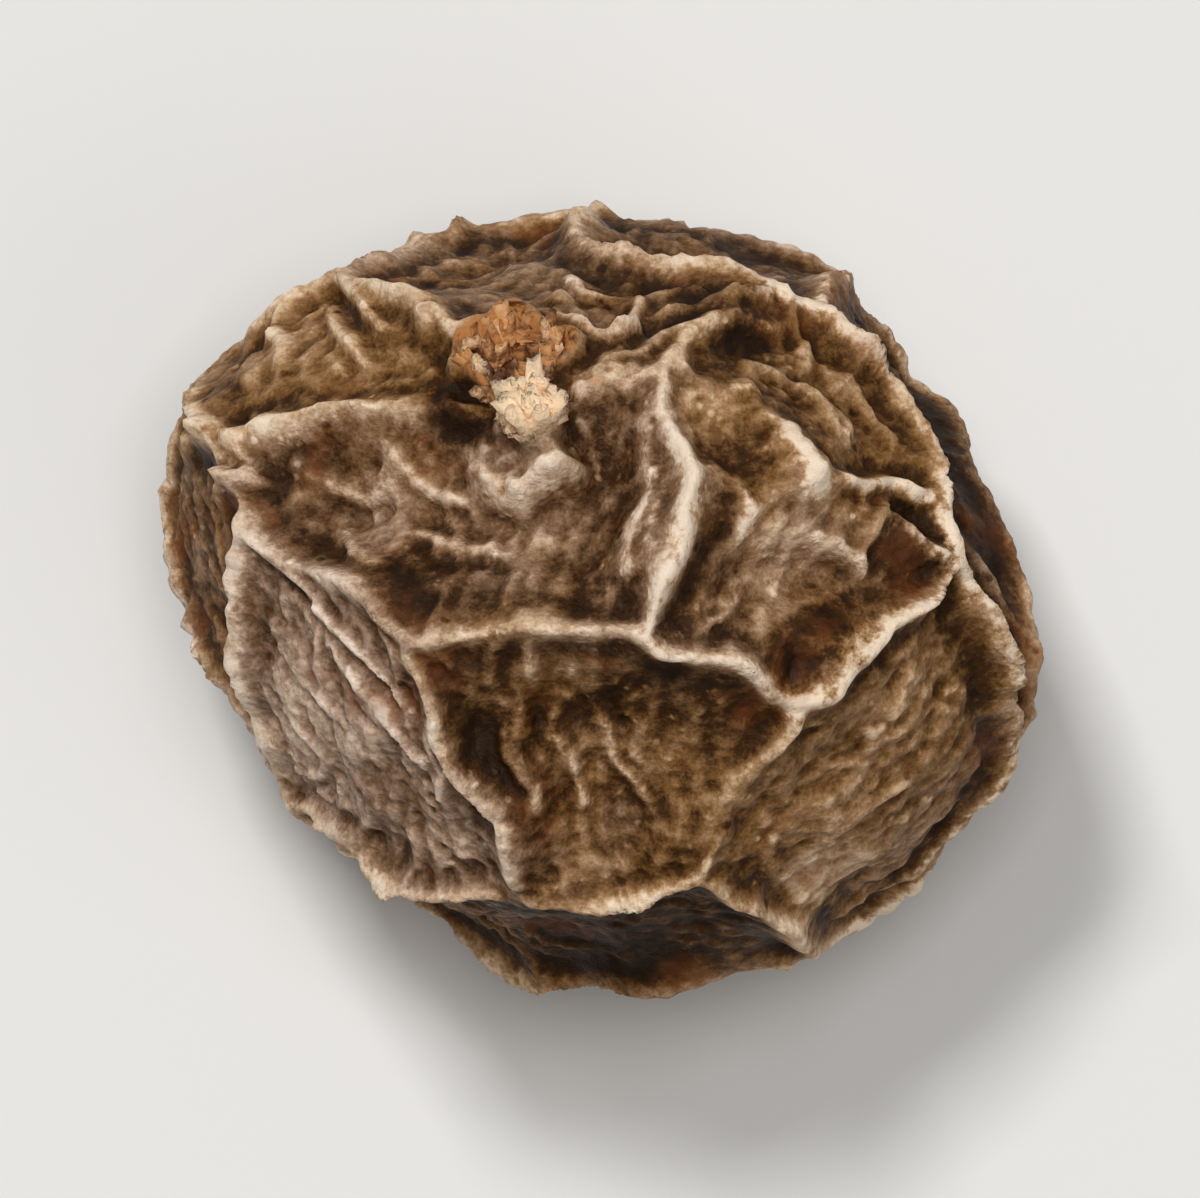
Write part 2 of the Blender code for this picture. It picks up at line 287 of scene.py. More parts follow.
# Detail finer than the solid holds
fineSkin = {
    "subdivisions": 7,  # 128 quads along each edge of the cube that becomes the ball
    "creases": [  # wavelength, height, line width, seed
        (0.62 * mm, 0.014 * mm, 0.36, 201),
        (0.34 * mm, 0.008 * mm, 0.45, 211),
        (0.19 * mm, 0.006 * mm, 0.50, 216),
    ],
    "creaseSink": 0.3,  # share of their height by which the skin between creases sinks
    "creaseLeast": 0.35,  # share of their height that creases keep where the skin is smooth
    "creaseOnCrest": 0.4,  # share by which creases are lower on a crest
    "creasePatches": (1.1 * mm, 221),
    "creasePatchLevels": (-1.6, 0.8),
    "creaseWarp": (0.5 * mm, 0.05 * mm, 226),
    "creaseGain": 0.55,  # share by which creases are deeper round the sides than on top
    "creaseGainDrops": (70, 105),
    # Creases and crests are lower in some places: place, reach, share
    "creaseCalms": [((-153, 62), 0.55 * mm, 0.6)],
    "crestCalms": [
        ((-178, 97), 0.16 * mm, 0.7),
        ((161, 59), 0.14 * mm, 0.4),
        ((34, 36), 0.24 * mm, 0.55),
        ((-44, 93), 0.14 * mm, 0.35),
        ((44, 117), 0.16 * mm, 0.5),
        ((106, 140), 0.16 * mm, 0.5),
        ((179, 131), 0.14 * mm, 0.5),
    ],
    "grains": [(0.17 * mm, 0.0080 * mm, 231), (0.09 * mm, 0.0036 * mm, 241)],
    "crestChange": (0.34 * mm, 0.07, 251),  # crests change height by this share
    "crestLean": (0.75 * mm, 0.022 * mm, 261),  # crests lean over by this much
    "grooveOffset": 0.20 * mm,  # a groove runs beside each crest
    "grooveWidth": 0.10 * mm,
    "grooveDepth": 0.035 * mm,
    "stubShreds": (0.12 * mm, 0.022 * mm, 271),
    "nearSmoothing": 10,  # smoothing rounds that set the reach of the small and the large hollows
    "farSmoothing": 130,
    "nearDepth": 0.014 * mm,
    "farDepth": 0.070 * mm,
    "seams": [  # places along each, its height and width
        ([(77, 36), (72, 26), (66, 16), (53, 9), (13, 5)], 0.050 * mm, 0.05 * mm),
        ([(36, 36), (29, 39), (25, 44), (20, 53), (15, 59)], 0.095 * mm, 0.065 * mm),
        ([(-8, 64), (-17, 78), (-24, 84), (-33, 87), (-44, 88), (-56, 84)], 0.040 * mm, 0.045 * mm),
        ([(66, 45), (57, 42), (46, 37)], 0.025 * mm, 0.06 * mm),
        ([(60, 51), (50, 49), (38, 47), (28, 49)], 0.030 * mm, 0.06 * mm),
        ([(98, 40), (87, 40), (78, 44), (67, 52), (60, 63)], 0.060 * mm, 0.055 * mm),
        ([(96, 52), (91, 49), (89, 45), (85, 44), (81, 48), (82, 56), (84, 61)], 0.090 * mm, 0.05 * mm),
        ([(78, 55), (71, 54), (66, 62)], 0.070 * mm, 0.05 * mm),
        ([(95, 71), (92, 61), (87, 61)], 0.060 * mm, 0.05 * mm),
        ([(127, 84), (126, 79), (123, 64), (120, 55)], 0.080 * mm, 0.05 * mm),
        ([(134, 84), (139, 80), (141, 65)], 0.045 * mm, 0.05 * mm),
        ([(132, 74), (129, 62), (128, 52)], 0.040 * mm, 0.05 * mm),
        ([(158, 84), (158, 77), (155, 66), (154, 58)], 0.080 * mm, 0.05 * mm),
        ([(154, 59), (160, 57), (166, 60)], 0.080 * mm, 0.05 * mm),
        ([(170, 59), (177, 48), (-170, 41), (-155, 37), (-142, 37)], 0.055 * mm, 0.045 * mm),
        ([(-176, 61), (-166, 57), (-157, 52)], 0.030 * mm, 0.05 * mm),
        ([(-144, 32), (-132, 39), (-129, 48)], 0.050 * mm, 0.05 * mm),
        ([(-146, 11), (-124, 14), (-117, 19)], 0.035 * mm, 0.05 * mm),
        ([(-105, 19), (-102, 28), (-95, 41)], 0.040 * mm, 0.05 * mm),
        ([(-88, 19), (-84, 29), (-77, 39)], 0.040 * mm, 0.05 * mm),
        ([(-127, 25), (-116, 32), (-106, 40)], 0.040 * mm, 0.05 * mm),
        ([(-105, 54), (-97, 48), (-87, 44), (-75, 43)], 0.025 * mm, 0.05 * mm),
        ([(-36, 31), (-52, 34), (-65, 39), (-71, 41)], 0.035 * mm, 0.06 * mm),
        ([(-13, 41), (-8, 44), (-8, 51), (-13, 54), (-18, 51), (-18, 45)], 0.020 * mm, 0.05 * mm),
        ([(46, 26), (31, 24), (15, 20)], 0.045 * mm, 0.05 * mm),
        ([(24, 30), (16, 35), (5, 40)], 0.045 * mm, 0.05 * mm),
        ([(-28, 14), (-15, 18), (3, 22)], 0.045 * mm, 0.05 * mm),
        ([(153, 52), (152, 43), (145, 38)], 0.045 * mm, 0.05 * mm),
        ([(142, 43), (143, 33), (136, 24)], 0.045 * mm, 0.05 * mm),
        ([(157, 34), (158, 25), (147, 18), (146, 12)], 0.050 * mm, 0.05 * mm),
        ([(126, 24), (112, 18), (95, 19)], 0.045 * mm, 0.05 * mm),
        ([(160, 47), (166, 40), (171, 33)], 0.045 * mm, 0.05 * mm),
        ([(99, 34), (93, 29), (89, 21)], 0.045 * mm, 0.05 * mm),
        ([(22, 73), (9, 79), (-8, 84)], 0.040 * mm, 0.05 * mm),
        ([(-96, 54), (-85, 50), (-74, 53)], 0.040 * mm, 0.05 * mm),
    ],
    "seamRise": (-0.08, 0.22),  # shares of a seam's length over which it rises and runs out
    "seamGroove": (2.3, 0.35),  # a groove beside each seam: how many widths off, share of the height
    "paleSeam": 0.06 * mm,  # a seam this high is as pale as a crest
    "paleCrests": [  # crests that are paler and higher than others, their paleness partly painted highlight: place, reach, change
        ((-5, 44), 0.46 * mm, 1.00),
        ((-32, 21), 0.40 * mm, 0.45),
        ((-27, 35), 0.26 * mm, 0.55),
        ((-3, 8), 0.26 * mm, 0.70),
        ((137, 48), 0.32 * mm, 0.60),
        ((-74, 45), 0.24 * mm, 0.50),
        ((38, 37), 0.32 * mm, 0.85),
        ((20, 50), 0.42 * mm, 0.90),
        ((54, 72), 0.50 * mm, 0.80),
        ((38, 82), 0.50 * mm, 1.00),
        ((20, 74), 0.45 * mm, 0.80),
        ((12, 57), 0.30 * mm, 0.50),
        ((1, 60), 0.26 * mm, 0.55),
        ((64, 66), 0.30 * mm, 0.35),
        ((68, 52), 0.40 * mm, 0.20),
        ((-14, 72), 0.45 * mm, 0.70),
        ((-28, 85), 0.50 * mm, 0.80),
        ((-47, 90), 0.55 * mm, 1.00),
        ((-90, 50), 0.50 * mm, 0.20),
        ((170, 98), 0.60 * mm, 0.40),
        ((-172, 96), 0.50 * mm, 0.50),
        ((-145, 80), 0.60 * mm, 0.60),
        ((54, 21), 0.45 * mm, 0.80),
        ((-167, 8), 0.50 * mm, 0.15),
        ((-141, 31), 0.40 * mm, 0.20),
        ((-170, 42), 0.50 * mm, 0.20),
        ((-48, 72), 0.45 * mm, 0.30),
    ],
    # Most of these places come from a scratch script's list of bright points in the photograph
    "specksAndGlints": [  # small pale grains that stand out a little, partly painted glints: place, reach, change of lightness
        ((-28, 49), 0.050 * mm, 0.55),
        ((-26, 50), 0.035 * mm, 0.45),
        ((0, 18), 0.050 * mm, 0.55),
        ((-1, 16), 0.030 * mm, 0.40),
        ((4, 27), 0.045 * mm, 0.50),
        ((6, 28), 0.030 * mm, 0.40),
        ((54, 59), 0.035 * mm, 0.45),
        ((4, 75), 0.045 * mm, 0.50),
        ((-56, 50), 0.040 * mm, 0.45),
        ((-38, 68), 0.035 * mm, 0.40),
        ((60, 41), 0.035 * mm, 0.50),
        ((142, 18), 0.035 * mm, 0.40),
        ((-149, 52), 0.040 * mm, 0.40),
    ],
    "speckHeight": 0.020 * mm,
    # A scratch script solved for 23 of these, so that the render's mean colours at named spots came to
    # the photograph's. All were rounded and some changed later. The other ten are at none of those spots.
    "toneAndShadingPatches": [  # lighter and darker patches, partly the skin's own tone and partly painted shade and painted light: place, reach, change of lightness
        ((149, 39), 0.42 * mm, 0.25),
        ((123, 20), 0.45 * mm, 0.25),
        ((175, 28), 0.30 * mm, -0.60),
        ((123, 38), 0.20 * mm, -0.85),
        ((158, 54), 0.28 * mm, 0.10),
        ((12, 28), 0.38 * mm, 0.35),
        ((-12, 31), 0.26 * mm, -0.50),
        ((-2, 35), 0.22 * mm, -0.30),
        ((11, 50), 0.24 * mm, -0.45),
        ((58, 22), 0.20 * mm, 0.20),
        ((64, 34), 0.20 * mm, 0.35),
        ((69, 57), 0.28 * mm, -0.65),
        ((43, 58), 0.42 * mm, 0.15),
        ((135, 68), 0.50 * mm, 0.15),
        ((-119, 13), 0.26 * mm, 0.50),
        ((-123, 32), 0.30 * mm, -0.30),
        ((-95, 31), 0.34 * mm, 0.35),
        ((-65, 33), 0.32 * mm, 0.25),
        ((-91, 46), 0.34 * mm, 0.35),
        ((-155, 62), 0.42 * mm, 0.25),
        ((-135, 57), 0.30 * mm, -0.40),
        ((-159, 78), 0.20 * mm, 0.30),
        ((-152, 84), 0.22 * mm, 0.35),
        ((-139, 80), 0.22 * mm, 0.35),
        ((-125, 70), 0.20 * mm, 0.20),
        ((176, 60), 0.32 * mm, 0.10),
        ((-122, 65), 0.28 * mm, -0.20),
        ((-14, 57), 0.42 * mm, 0.25),
        ((-37, 56), 0.45 * mm, 0.20),
        ((-54, 67), 0.38 * mm, 0.60),
        ((-90, 68), 0.60 * mm, -0.40),
        ((-84, 92), 0.60 * mm, -0.30),
        ((20, 94), 0.60 * mm, -0.45),
    ],
    "paleRise": 0.8,  # how much of their change pale crests also rise by
    "paleRiseDrops": (50, 70),  # drops between which that ends
    "paleWidth": 0.080 * mm,  # reach of the pale colour on both sides of a crest
    "paleFold": 0.13 * mm,  # a fold this high is as pale as a crest
    "rimCalm": (0.35, 86, 12),  # crests are lower round the rim: share, drop and how far to both sides
}


def seamRelief(ways):  # height of the seams, and a mask that is 1 along them
    widthsOff, grooveShare = fineSkin["seamGroove"]
    relief, line = np.zeros(len(ways)), np.zeros(len(ways))
    for places, height, width in fineSkin["seams"]:
        stops = [direction(place) for place in places]
        lengths = [np.arccos(np.clip(a @ b, -1, 1)) for a, b in zip(stops, stops[1:])]
        whole, done = sum(lengths), 0.0
        away, along = np.full(len(ways), np.inf), np.zeros(len(ways))
        for first, last, length in zip(stops, stops[1:], lengths):
            pole = unit(np.cross(first, last))
            share = np.arctan2(ways @ np.cross(pole, first), ways @ first) / length
            nearest = np.clip(share, 0, 1)[:, None] * length
            onArc = first * np.cos(nearest) + np.cross(pole, first) * np.sin(nearest)
            gap = np.linalg.norm(ways - onArc, axis=1) * meanRadius
            closer = gap < away
            away = np.where(closer, gap, away)
            along = np.where(closer, (done + np.clip(share, 0, 1) * length) / whole, along)
            done += length
        strength = smoothStep(along, *fineSkin["seamRise"]) * smoothStep(1 - along, *fineSkin["seamRise"])
        ridge = np.exp(-(away / width) ** 2)
        groove = np.exp(-((away - widthsOff * width) / width) ** 2)
        relief += height * strength * (ridge - grooveShare * groove)
        line = np.maximum(line, strength * ridge * min(height / fineSkin["paleSeam"], 1))
    return relief, line


def creaseRelief(points, drop):  # fine wrinkles along the zero lines of warped noise, at several sizes
    wavelength, amount, seed = fineSkin["creaseWarp"]
    warped = points + rippleVector(points, wavelength, seed) * amount
    rough = smoothStep(ripple(points, *fineSkin["creasePatches"]), *fineSkin["creasePatchLevels"])
    relief = np.zeros(len(points))
    for wavelength, height, width, seed in fineSkin["creases"]:
        relief += height * (np.exp(-(ripple(warped, wavelength, seed) / width) ** 2) - fineSkin["creaseSink"])
    deeper = 1 + fineSkin["creaseGain"] * smoothStep(drop, *fineSkin["creaseGainDrops"])
    return relief * (fineSkin["creaseLeast"] + (1 - fineSkin["creaseLeast"]) * rough) * deeper


def patches(ways, spots):
    return sum(change * np.exp(-(awayFrom(ways, place) / reach) ** 4) for place, reach, change in spots)


def softness(ways):  # 1, or lower where the ridges fade
    soft = np.ones(len(ways))
    for place, reach, share in form["softSpots"]:
        soft *= 1 - share * np.exp(-(awayFrom(ways, place) / reach) ** 2)
    return soft


def crestStrength(points, drop, paler):  # share of their full height that crests have
    change = smoothStep(ripple(points, *form["crestChange"]), *form["crestChangeLevels"])
    strength = form["crestLowest"] + (1 - form["crestLowest"]) * change
    strength *= 1 + ripples(points, [fineSkin["crestChange"]])
    strength *= 1 + paler * fineSkin["paleRise"] * (1 - smoothStep(drop, *fineSkin["paleRiseDrops"]))
    share, rim, spread = fineSkin["rimCalm"]
    return strength * (1 - share * np.exp(-((drop - rim) / spread) ** 2))


def skinSurface(ways):  # points of the fine skin, and the masks that its material reads
    points = ways * meanRadius
    drop = np.degrees(np.arccos(ways[:, 2]))
    bentWays = bent(ways)
    crisp, rounded, depth, tints = borderDistance(bentWays)
    soft = softness(ways)
    paler = np.minimum(patches(ways, fineSkin["paleCrests"]), 1)
    strength = crestStrength(points, drop, paler) * soft
    crestShape = np.exp(-(crisp / form["crestWidth"]) ** 2)
    crest = form["crestHeight"] * strength * (1 - patches(ways, fineSkin["crestCalms"])) * crestShape
    shoulder = form["shoulderHeight"] * np.exp(-crisp / form["shoulderWidth"]) * soft
    hollow = 1 - np.exp(-(rounded / form["hollowWidth"]) ** 2)
    groove = np.exp(-((crisp - fineSkin["grooveOffset"]) / fineSkin["grooveWidth"]) ** 2)
    seams, seamLine = seamRelief(bentWays)
    folds = foldRelief(bentWays)
    swell, grains = ripples(points, form["lumps"]), ripples(points, fineSkin["grains"])
    stub, cover, torn = stubRelief(ways)
    shreds = ripples(points, [fineSkin["stubShreds"]]) * cover
    own = crest + shoulder + folds + wrinkleRelief(points) - depth * hollow + grains
    creases = creaseRelief(points, drop) * (1 - patches(ways, fineSkin["creaseCalms"]))
    creases *= 1 - fineSkin["creaseOnCrest"] * crestShape
    specksAndGlints = patches(ways, fineSkin["specksAndGlints"])
    own += seams + creases + specksAndGlints * fineSkin["speckHeight"] - fineSkin["grooveDepth"] * groove * soft
    relief = own * (1 - cover) + swell + stub + shreds
    relief *= 1 - smoothStep(drop, *form["reliefFades"])
    wavelength, amount, seed = fineSkin["crestLean"]
    lean = rippleVector(points, wavelength, seed)
    lean -= ways * (lean * ways).sum(axis=1, keepdims=True)
    surface = plainBall(ways) + ways * relief[:, None]
    surface += lean * (amount * crestShape * (1 - cover))[:, None]
    # Pale colour along crests, high seams and folds: partly wear, partly painted highlight
    pale = np.exp(-(crisp / fineSkin["paleWidth"]) ** 2) * np.minimum(strength, 1)
    pale = np.maximum(np.maximum(pale, seamLine), folds / fineSkin["paleFold"])
    masks = {
        "crest": pale,
        "paler": paler * pale ** 2,
        # tone: the skin's own tone with painted shade and painted light from the patches, and pale specks
        # that are partly painted glints
        "tone": patches(ways, fineSkin["toneAndShadingPatches"]) + specksAndGlints,
        # groove: painted shade beside each crest
        "groove": groove * soft,
        # shade: each panel's tone, for the rim panels partly painted shadow
        "shade": tints[:, 0],
        "warmth": tints[:, 1],
        "torn": torn,
    }
    return surface, relief, masks


def smoothed(values, pairs, rounds):  # spreads values over a mesh, along its edges
    neighbours = np.bincount(pairs.ravel(), minlength=len(values))
    for _ in range(rounds):
        total = np.bincount(pairs[:, 0], values[pairs[:, 1]], len(values))
        total += np.bincount(pairs[:, 1], values[pairs[:, 0]], len(values))
        values = (values + total / neighbours) / 2
    return values


def hollows(mesh, relief):  # how far each point stands out of the skin round it, near by and farther off, which the skin's colour turns into painted shade and painted light
    pairs = np.empty(len(mesh.edges) * 2, dtype=np.int32)
    mesh.edges.foreach_get("vertices", pairs)
    pairs = pairs.reshape(-1, 2)
    near = (relief - smoothed(relief, pairs, fineSkin["nearSmoothing"])) / fineSkin["nearDepth"]
    far = (relief - smoothed(relief, pairs, fineSkin["farSmoothing"])) / fineSkin["farDepth"]
    return {"nearOut": np.clip(near / 2 + 0.5, 0, 1), "farOut": np.clip(far / 2 + 0.5, 0, 1)}


def leastHeight(points):  # height above the flat spot that the skin keeps at least
    across = np.hypot(points[:, 0], points[:, 1])
    aside = np.abs(np.sin(np.arctan2(points[:, 1], points[:, 0]) * form["spotCorners"] / 2))
    outline = form["spotSideReach"] - form["spotCornerReach"]
    outline = form["spotCornerReach"] + outline * aside ** form["spotPointedness"]
    beyond = np.maximum(across - outline, 0)
    height = form["spotRise"] * (1 - np.exp(-(beyond / form["spotRiseWidth"]) ** 2))
    return np.where(height < form["flatTolerance"], 0, height)


def settled(points, floor):  # cut flat underneath, set to the solid's size and standing where it stands
    points[:, 2] = np.maximum(points[:, 2] - floor, leastHeight(points))
    low, high = points.min(axis=0), points.max(axis=0)
    return (points - low) / (high - low) * wholeSize + np.array(cadBox[0])


def addObject(name, data):
    piece = bpy.data.objects.new(name, data)
    bpy.context.scene.collection.objects.link(piece)
    return piece


def setMasks(mesh, masks):
    for name, values in masks.items():
        mesh.attributes.new(name, "FLOAT", "POINT").data.foreach_set("value", values.astype(np.float32))


def cubeBall():  # a cube cut into an even grid, with its six sides laid out side by side in the UV map
    mesh = bpy.data.meshes.new("peppercorn skin")
    cube = bmesh.new()
    bmesh.ops.create_cube(cube, size=2)
    layer = cube.loops.layers.uv.new("OFBake")
    corners = [(0, 0), (1, 0), (1, 1), (0, 1)]
    margin = 0.01
    for number, face in enumerate(cube.faces):
        column, row = number % 3, number // 3
        for loop, (u, v) in zip(face.loops, corners):
            u, v = margin + u * (1 - 2 * margin), margin + v * (1 - 2 * margin)
            loop[layer].uv = ((column + u) / 3, (row + v) / 2)
    cube.to_mesh(mesh)
    cube.free()
    ball = addObject("peppercornSkin", mesh)
    grid = ball.modifiers.new("grid", "SUBSURF")
    grid.subdivision_type = "SIMPLE"
    grid.levels = fineSkin["subdivisions"]
    grid.render_levels = fineSkin["subdivisions"]
    fine = bpy.data.meshes.new_from_object(ball.evaluated_get(bpy.context.evaluated_depsgraph_get()))
    ball.modifiers.clear()
    ball.data = fine
    bpy.data.meshes.remove(mesh)
    return ball


def buildSkin():
    ball = cubeBall()
    mesh = ball.data
    points = np.empty(len(mesh.vertices) * 3)
    mesh.vertices.foreach_get("co", points)
    ways = unit(np.tan(points.reshape(-1, 3) * np.pi / 4))  # evens out the grid on the ball
    surface, relief, masks = skinSurface(ways)
    masks.update(hollows(mesh, relief))
    floor = -wholeSize[2] / 2 + form["cutRadius"] ** 2 / (2 * meanRadius)
    mesh.vertices.foreach_set("co", settled(surface, floor).ravel())
    setMasks(mesh, masks)
    mesh.shade_smooth()
    mesh.update()
    print("skin built,", len(mesh.polygons), "quads")
    return ball


def newMaterial(name):
    material = bpy.data.materials.new(name)
    material.use_nodes = True
    return material, material.node_tree, material.node_tree.nodes["Principled BSDF"]


def addNode(tree, kind, inputs=None, **settings):  # inputs hold values, or another node's output
    node = tree.nodes.new(kind)
    for name, value in settings.items():
        setattr(node, name, value)
    for name, value in (inputs or {}).items():
        if isinstance(value, bpy.types.NodeSocket):
            tree.links.new(value, node.inputs[name])
        else:
            node.inputs[name].default_value = value
    return node


def addMath(tree, operation, first, second=0.0, clamp=False):
    inputs = {0: first, 1: second}
    return addNode(tree, "ShaderNodeMath", inputs, operation=operation, use_clamp=clamp).outputs[0]


def mixColour(tree, factor, first, second):
    node = addNode(tree, "ShaderNodeMix", {"Factor": factor}, data_type="RGBA")
    for socket, value in ((node.inputs[6], first), (node.inputs[7], second)):
        if isinstance(value, bpy.types.NodeSocket):
            tree.links.new(value, socket)
        else:
            socket.default_value = (*value, 1)
    return node.outputs[2]


def remap(tree, value, low, high, toLow=0.0, toHigh=1.0):
    inputs = {"Value": value, "From Min": low, "From Max": high, "To Min": toLow, "To Max": toHigh}
    return addNode(tree, "ShaderNodeMapRange", inputs, interpolation_type="SMOOTHSTEP").outputs[0]


def ramp(tree, value, stops):  # a colour scale with its stops given as (place, colour)
    node = addNode(tree, "ShaderNodeValToRGB", {"Fac": value})
    scale = node.color_ramp.elements
    while len(scale) < len(stops):
        scale.new(1.0)
    for element, (position, colour) in zip(scale, stops):
        element.position = position / stops[-1][0]
        element.color = (*colour, 1)
    return node.outputs["Color"]


def mask(tree, name):
    return addNode(tree, "ShaderNodeAttribute", attribute_name=name).outputs["Fac"]


def millimetres(tree):  # the object's own coordinates, counted in millimetres
    place = addNode(tree, "ShaderNodeTexCoord").outputs["Object"]
    return addNode(tree, "ShaderNodeVectorMath", {0: place, 3: 1 / mm}, operation="SCALE").outputs[0]


def noise(tree, place, scale, detail=4.0, roughness=0.6, distortion=0.0):
    inputs = {"Vector": place, "Scale": scale, "Detail": detail}
    inputs.update({"Roughness": roughness, "Distortion": distortion})
    return addNode(tree, "ShaderNodeTexNoise", inputs).outputs["Fac"]


def cells(tree, place, scale):  # distance to the nearest of many scattered points
    return addNode(tree, "ShaderNodeTexVoronoi", {"Vector": place, "Scale": scale}).outputs["Distance"]


def product(tree, first, second):
    return addMath(tree, "MULTIPLY", first, second)


def total(tree, first, *others):
    for value in others:
        first = addMath(tree, "ADD", first, value)
    return first


def makeGroup(name, inputs, outputs):  # an empty shader group with its sockets and their first values
    group = bpy.data.node_groups.new(name, "ShaderNodeTree")
    for socketName, kind, value in inputs:
        socket = group.interface.new_socket(socketName, in_out="INPUT", socket_type=kind)
        if value is not None:
            socket.default_value = value
    for socketName, kind in outputs:
        group.interface.new_socket(socketName, in_out="OUTPUT", socket_type=kind)
    return group, group.nodes.new("NodeGroupInput"), group.nodes.new("NodeGroupOutput")


grainLook = {
    # noises: scale per mm, detail, roughness, distortion
    "broad": (2.2, 5, 0.62, 0.4),
    "fine": (9.0, 5, 0.68, 0.3),
    "grit": (30.0, 3, 0.72, 0.0),
    # scattered spots: scale, from where to where each fades, scale of their patches, levels of those
    "flecks": (11.0, (0.12, 0.38), 5.0, (0.52, 0.66)),
    "pores": (7.0, (0.08, 0.30), 3.1, (0.50, 0.62)),
    "pebbleScale": 17.0,
    "rises": (0.35, -0.30, -0.35, 0.40),  # how far flecks, pores, pebbles and grit stand out or lie deeper
}


def scatteredSpots(tree, place, scale, fade, patchScale, levels):  # round spots that come in patches
    spots = remap(tree, cells(tree, place, scale), *fade, 1, 0)
    return product(tree, spots, remap(tree, noise(tree, place, patchScale, 3), *levels))


def driedGrainGroup():  # mottle, grit, pale flecks, dark pores and height of a dried, granular plant surface
    sockets = [
        ("Place", "NodeSocketVector", None),
        ("Scale", "NodeSocketFloat", 1.0),
        ("Fleck Amount", "NodeSocketFloat", 0.5),
    ]
    results = [(name, "NodeSocketFloat") for name in ("Mottle", "Grit", "Flecks", "Pores", "Height")]
    group, given, result = makeGroup("driedGrain", sockets, results)
    inputs = {0: given.outputs["Place"], 3: given.outputs["Scale"]}
    place = addNode(group, "ShaderNodeVectorMath", inputs, operation="SCALE").outputs[0]
    broad = noise(group, place, *grainLook["broad"])
    fine = noise(group, place, *grainLook["fine"])
    grit = noise(group, place, *grainLook["grit"])
    mottle = product(group, total(group, broad, fine), 0.5)
    flecks = product(group, scatteredSpots(group, place, *grainLook["flecks"]), given.outputs["Fleck Amount"])
    pores = scatteredSpots(group, place, *grainLook["pores"])
    pebbles = cells(group, place, grainLook["pebbleScale"])
    parts = zip((flecks, pores, pebbles, grit), grainLook["rises"])
    height = total(group, fine, *[product(group, part, rise) for part, rise in parts])
    values = {"Mottle": mottle, "Grit": grit, "Flecks": flecks, "Pores": pores, "Height": height}
    for name, value in values.items():
        group.links.new(value, result.inputs[name])
    return group


def addBump(tree, height, distance, shader):
    inputs = {"Height": height, "Distance": distance, "Strength": 1.0}
    tree.links.new(addNode(tree, "ShaderNodeBump", inputs).outputs[0], shader.inputs["Normal"])


def useGroup(tree, group, place, scale, fleckAmount):
    inputs = {"Place": place, "Scale": scale, "Fleck Amount": fleckAmount}
    return addNode(tree, "ShaderNodeGroup", inputs, node_tree=group)


skinLook = {
    # colours from the darkest hollows to the palest crests, with their places on the scale of lightness;
    # painted shade and painted highlight reach the two ends
    "brown": [
        (0.00, (0.016, 0.006, 0.002)),
        (0.25, (0.050, 0.018, 0.003)),
        (0.50, (0.180, 0.083, 0.024)),
        (0.75, (0.368, 0.205, 0.094)),
        (1.00, (0.665, 0.455, 0.280)),
        (1.25, (0.890, 0.715, 0.535)),
    ],
    "grey": [
        (0.00, (0.017, 0.008, 0.004)),
        (0.25, (0.054, 0.025, 0.011)),
        (0.50, (0.180, 0.100, 0.056)),
        (0.75, (0.368, 0.243, 0.168)),
        (1.00, (0.665, 0.490, 0.358)),
        (1.25, (0.890, 0.735, 0.600)),
    ],
    "lightest": 1.25,
    "middle": 0.21,  # lightness of a panel of no shade at all
    "weights": {  # how strongly each mask or noise changes the lightness
        "shade": 0.62,
        "mottle": 0.35,
        "grit": 0.18,
        # near and far: painted shade where the skin lies lower than round it, painted light where it stands
        # out
        "near": 0.32,
        "far": 0.34,
        # tone: the skin's own tone, painted shade and painted light in patches, and pale specks that are
        # partly painted glints
        "tone": 0.75,
        # paler and crest: pale crests, partly wear, partly painted highlight
        "paler": 0.62,
        "crest": 0.25,
        "flecks": 0.32,
        # groove: painted shade beside each crest
        "groove": -0.16,
        "pores": -0.30,
    },
    "grain": (1.0, 1.0),  # scale of the shared grain, and how strong its flecks are
    # noises: scale per mm, detail, roughness, and for some distortion
    "wearAndHighlightNoise": (6.0, 5, 0.70),
    "edgeNoise": (13.0, 4, 0.65),
    "warmthNoise": (1.7, 4),
    "rustNoise": (1.5, 5, 0.6, 0.5),
    "strandNoise": (7.0, 4, 0.7, 1.0),
    # from where to where a noise or mask is spread out
    "mottleLevels": (0.34, 0.66),
    "gritLevels": (0.30, 0.70),
    "wearAndHighlightLevels": (0.32, 0.64, 0.35, 1.0),
    "crestLevels": (0.22, 0.68),
    "palerLevels": (0.08, 0.80),
    "warmthLevels": (0.60, 1.20),
    "rustLevels": (0.54, 0.68, 0, 0.35),
    "strandLevels": (0.34, 0.54),
    "pitShadeLevels": (0.40, 0.10, 0, 0.8),
    "tornLevels": (0.25, 0.75),
    "crestEdge": 0.9,  # how ragged the edges of the pale crests are
    "rust": (0.220, 0.062, 0.018),  # reddish patches
    "tornSide": (0.450, 0.190, 0.060),
    # dark of the torn strands, and the painted shade in the stub's pits
    "tornDarkAndPitShade": (0.060, 0.018, 0.006),
    "roughness": (0.36, 0.64, 0.66, 0.42),  # levels of the mottling, roughness of its dark and light parts
    "tornRoughness": 0.25,  # how much rougher the torn stub is
    "specular": 0.16,
    "specularTint": (1.0, 0.80, 0.60),
    "bumpDistance": 0.021 * mm,
}


def centred(tree, value, weight):  # turns a value round 0.5 into one round 0, by its weight
    return product(tree, addMath(tree, "SUBTRACT", value, 0.5), weight)


